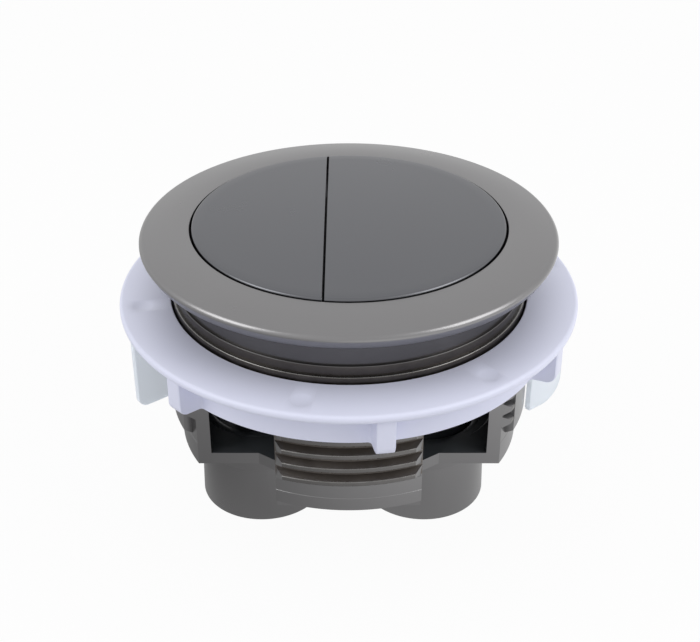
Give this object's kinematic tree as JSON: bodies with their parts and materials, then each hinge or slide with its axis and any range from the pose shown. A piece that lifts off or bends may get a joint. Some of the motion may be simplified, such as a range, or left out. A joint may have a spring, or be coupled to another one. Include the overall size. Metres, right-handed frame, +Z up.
{
  "type": "cistern push button",
  "caption": "Round dual-flush cistern push button: grey plated housing with a split button, lock nut and two leg tubes.",
  "frame": {"origin": "on the axis of the threaded body, level with the lower ends of the two leg tubes", "axes": "+Z up along the axis of the threaded body, +X towards the large button, -Y to the front of the picture"},
  "size_m": [0.0766, 0.0766, 0.0547],
  "materials": {
    "plated": "grey plated, satin",
    "cap_plated": "grey plated, satin",
    "nut_plastic": "moulded white",
    "black_plastic": "moulded black",
    "spring_steel": "drawn wire"
  },
  "bodies": {
    "body": {"housing": "plated", "small_leg_tube": "plated", "large_leg_tube": "plated", "small_return_spring": "spring_steel", "large_return_spring": "spring_steel"},
    "nut": {"lock_nut": "nut_plastic"},
    "small_key": {"small_button": "cap_plated", "small_plunger": "black_plastic", "small_spring_seat": "black_plastic"},
    "large_key": {"large_button": "cap_plated", "large_plunger": "black_plastic", "large_spring_seat": "black_plastic"}
  },
  "joints": [
    {"name": "small_press", "type": "slide", "parent": "body", "child": "small_key", "axis": [0, 0, -1], "range_m": [0, 0.006], "stiffness_N_per_m": 400, "springref_m": -0.004, "deforming": ["small_return_spring"]},
    {"name": "large_press", "type": "slide", "parent": "body", "child": "large_key", "axis": [0, 0, -1], "range_m": [0, 0.006], "stiffness_N_per_m": 400, "springref_m": -0.004, "deforming": ["large_return_spring"]},
    {"name": "nut_turn", "type": "hinge", "parent": "body", "child": "nut", "pos_m": [0, 0, 0.038], "axis": [0, 0, 1], "continuous": true}
  ]
}
